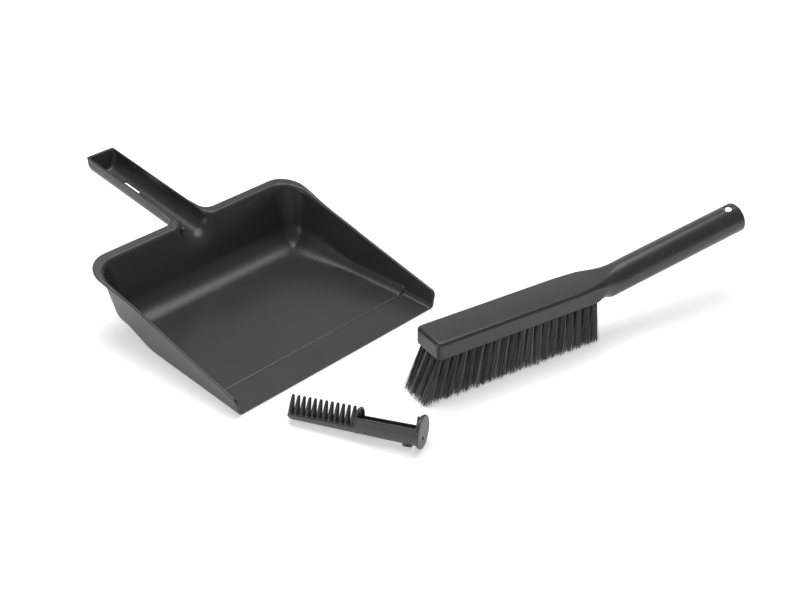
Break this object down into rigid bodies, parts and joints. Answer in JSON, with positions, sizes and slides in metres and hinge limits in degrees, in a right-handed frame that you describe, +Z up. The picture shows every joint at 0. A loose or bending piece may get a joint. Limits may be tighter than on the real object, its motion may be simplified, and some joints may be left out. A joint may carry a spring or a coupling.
{
  "type": "dust pan and brush set",
  "caption": "Plastic dust pan with a trough handle, a hand brush with a hollow round handle, and the cleaning comb that is kept inside the brush handle, laid side by side.",
  "frame": {"origin": "the middle of the pan's flat base, on the surface that all three pieces lie on", "axes": "+Z up from that surface; +Y from the pan's mouth towards its handle; +X to the right along the mouth, seen from the mouth"},
  "size_m": [0.4566, 0.5045, 0.0792],
  "materials": {
    "pan_plastic": "moulded polypropylene, dark grey, fine matt texture with a soft sheen",
    "brush_plastic": "moulded polypropylene, dark grey, matt",
    "comb_plastic": "moulded polypropylene, dark grey, slightly glossier than the pan",
    "bristles": "black crimped synthetic filament"
  },
  "bodies": {
    "pan": {"dust_pan": "pan_plastic"},
    "brush": {"brush_body": "brush_plastic", "bristle_row_01": "bristles", "bristle_row_02": "bristles", "bristle_row_03": "bristles", "bristle_row_04": "bristles", "bristle_row_05": "bristles", "bristle_row_06": "bristles", "bristle_row_07": "bristles", "bristle_row_08": "bristles", "bristle_row_09": "bristles", "bristle_row_10": "bristles", "bristle_row_11": "bristles", "bristle_row_12": "bristles", "bristle_row_13": "bristles", "bristle_row_14": "bristles", "bristle_row_15": "bristles", "bristle_row_16": "bristles", "bristle_row_17": "bristles", "bristle_row_18": "bristles", "bristle_row_19": "bristles", "bristle_row_20": "bristles"},
    "comb": {"brush_comb": "comb_plastic"}
  },
  "joints": [
    {"name": "brush_lift", "type": "slide", "parent": "pan", "child": "brush", "axis": [0, 0, 1], "range_m": [0, 0.15]},
    {"name": "comb_lift", "type": "slide", "parent": "pan", "child": "comb", "axis": [0, 0, 1], "range_m": [0, 0.1]}
  ]
}
